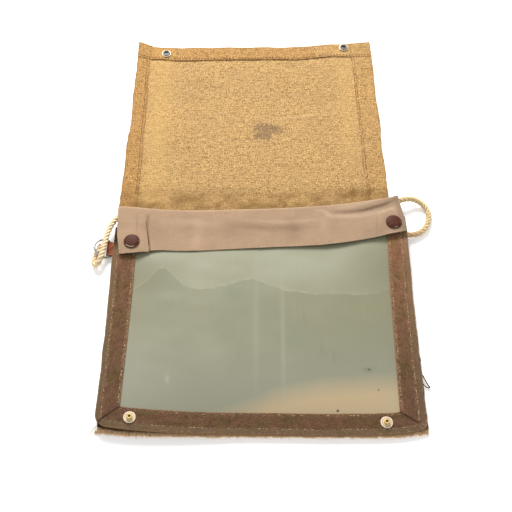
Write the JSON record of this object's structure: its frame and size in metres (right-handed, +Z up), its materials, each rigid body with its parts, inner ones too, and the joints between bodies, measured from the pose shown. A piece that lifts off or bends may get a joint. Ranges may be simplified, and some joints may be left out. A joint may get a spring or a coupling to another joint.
{
  "type": "map case",
  "caption": "Flat canvas map case lying open on its back, with a clear window bound in canvas, a hemmed flap, a snapped cotton weather strip, and a rope carrying cord on a D-ring.",
  "frame": {"origin": "on the flat underside of the back panel, in the middle of the fold line between the body and the flap", "axes": "+X to the right across the case, +Y towards the flap's free end, +Z up from the surface that the case lies on"},
  "size_m": [0.3263, 0.4633, 0.0177],
  "materials": {
    "back_canvas": "worn ochre-brown canvas, frayed at the edges",
    "binding_canvas": "dark brown canvas binding, stitched",
    "clear_sheet": "aged, hazy celluloid sheet with pale stains",
    "flap_canvas": "ochre canvas, speckled and worn",
    "strip_cotton": "taupe cotton drill",
    "cap_enamel": "plum-brown japanned metal, worn at the rim",
    "brass": "pale nickelled brass, worn to yellow",
    "tab_leather": "orange-brown leather",
    "ring_steel": "dull grey steel wire",
    "rope": "yellow-cream laid rope of three strands"
  },
  "bodies": {
    "root": {"back_panel": "back_canvas", "binding_left": "binding_canvas", "binding_right": "binding_canvas", "binding_bottom": "binding_canvas", "window": "clear_sheet", "flap": "flap_canvas", "weather_strip": "strip_cotton", "strip_stud_left": "brass", "strip_socket_left": "brass", "strip_cap_left": "cap_enamel", "strip_stud_right": "brass", "strip_socket_right": "brass", "strip_cap_right": "cap_enamel", "closing_stud_left": "brass", "closing_stud_right": "brass", "flap_socket_left": "brass", "flap_cap_left": "cap_enamel", "flap_socket_right": "brass", "flap_cap_right": "cap_enamel", "leather_tab": "tab_leather", "d_ring": "ring_steel", "cord": "rope", "cord_hitch": "rope"}
  },
  "joints": []
}
